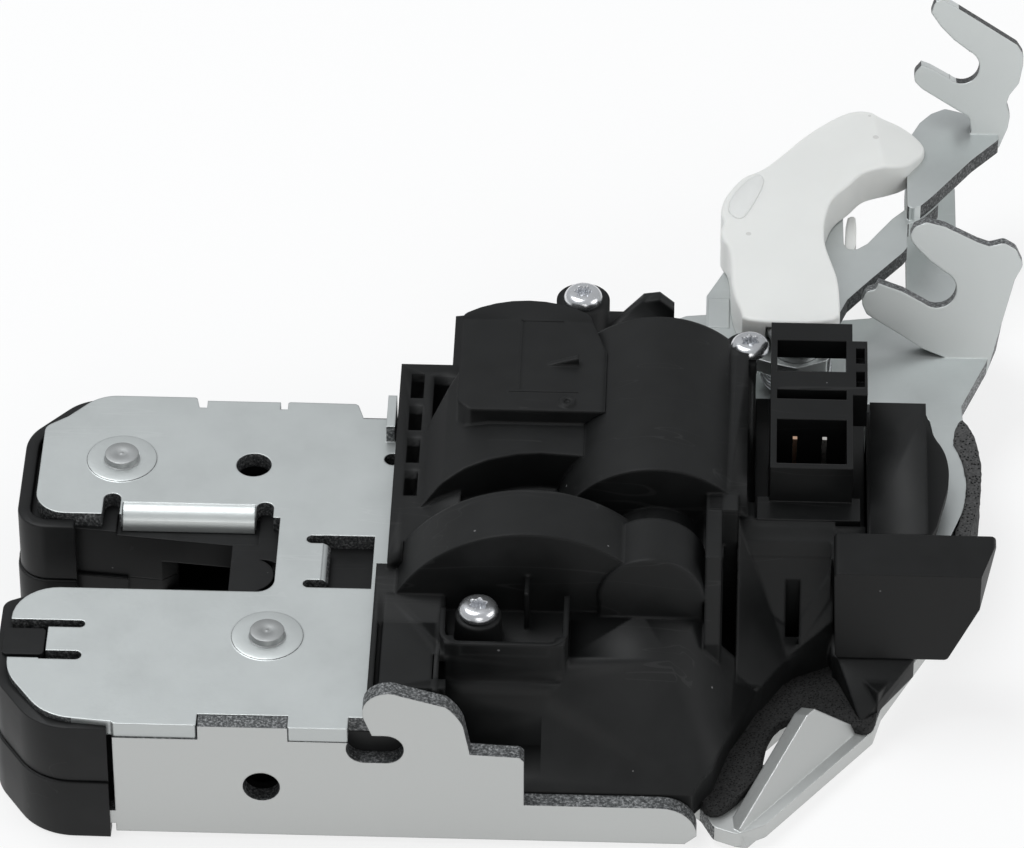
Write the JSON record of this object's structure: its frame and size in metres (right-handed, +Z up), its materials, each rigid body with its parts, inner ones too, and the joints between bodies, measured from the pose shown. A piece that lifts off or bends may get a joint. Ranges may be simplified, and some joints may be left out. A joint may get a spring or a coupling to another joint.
{
  "type": "trunk lock actuator",
  "caption": "Trunk lid lock with zinc plate, black latch case, catch and pawl, motor and gear drive, connector, white release handle and two cable forks.",
  "frame": {"origin": "centre of the fixing hole in the top plate, on the plate's upper face", "axes": "+Z up out of the plate, +X from the latch mouth towards the motor, +Y towards the release lever and the cable forks"},
  "size_m": [0.149, 0.1478, 0.0441],
  "materials": {
    "zinc": "bright zinc-plated sheet steel with fine rolled grain",
    "case_black": "black moulded plastic, satin",
    "cover_black": "black moulded plastic, fine grain",
    "rubber": "soft black rubber",
    "rivet_steel": "peened zinc-plated steel",
    "dark_steel": "hardened steel",
    "spring_steel": "drawn spring wire",
    "part_grey": "dark grey plastic",
    "contact_tin": "tinned copper alloy",
    "motor_steel": "zinc-plated motor can",
    "brass": "turned brass",
    "gear_white": "natural white plastic",
    "screw_silver": "bright zinc-plated screw",
    "handle_white": "milky white plastic, satin",
    "felt": "black speckled felt pad",
    "foam": "open-cell black foam"
  },
  "bodies": {
    "housing": {"base_tray": "zinc", "cable_bracket": "zinc", "top_plate": "zinc", "latch_case_upper": "case_black", "latch_case_lower": "case_black", "striker_buffer": "rubber", "catch_rivet": "rivet_steel", "pawl_rivet": "rivet_steel", "catch_spring": "spring_steel", "pawl_spring": "spring_steel", "latch_switch": "part_grey", "actuator_cover": "cover_black", "actuator_base": "cover_black", "connector_socket": "cover_black", "contacts": "contact_tin", "motor_can": "motor_steel", "gear_axle": "spring_steel", "cover_screws": "screw_silver", "end_cap": "cover_black", "lever_rivet": "rivet_steel", "lever_spring": "spring_steel", "floor_pad": "felt", "foam_seal": "foam"},
    "catch": {"catch": "dark_steel", "catch_coat": "case_black"},
    "pawl": {"pawl": "dark_steel"},
    "rotor": {"motor_shaft": "spring_steel", "pinion": "brass"},
    "gear": {"drive_gear": "gear_white", "release_ramp": "gear_white"},
    "lever": {"release_lever": "zinc", "lever_handle": "handle_white"}
  },
  "joints": [
    {"name": "catch_turn", "type": "hinge", "parent": "housing", "child": "catch", "pos_m": [0.0043, -0.0376, -0.0106], "axis": [0, 0, -1], "range_deg": [0, 55], "stiffness_Nm_per_rad": 0.05, "springref_deg": -34.38, "deforming": ["catch_spring"]},
    {"name": "gear_turn", "type": "hinge", "parent": "housing", "child": "gear", "pos_m": [0.04298, -0.024, -0.0028], "axis": [0, 1, 0], "range_deg": [0, 62]},
    {"name": "rotor_turn", "type": "hinge", "parent": "housing", "child": "rotor", "pos_m": [0.0593, -0.024, -0.0028], "axis": [0, 1, 0], "range_deg": [-320, 10]},
    {"name": "pawl_turn", "type": "hinge", "parent": "housing", "child": "pawl", "pos_m": [-0.0195, 0.0007, -0.0106], "axis": [0, 0, 1], "range_deg": [-0.3, 5.2], "deforming": ["pawl_spring"]},
    {"name": "lever_turn", "type": "hinge", "parent": "housing", "child": "lever", "pos_m": [0.0797, 0.03, -0.00125], "axis": [0, 0, -1], "range_deg": [-0.3, 5.4], "deforming": ["lever_spring"]}
  ],
  "couplings": [
    {"joint": "rotor_turn", "follows": "gear_turn", "ratio": -5},
    {"joint": "pawl_turn", "follows": "gear_turn", "ratio": 0.0765},
    {"joint": "lever_turn", "follows": "gear_turn", "ratio": 0.0806}
  ]
}
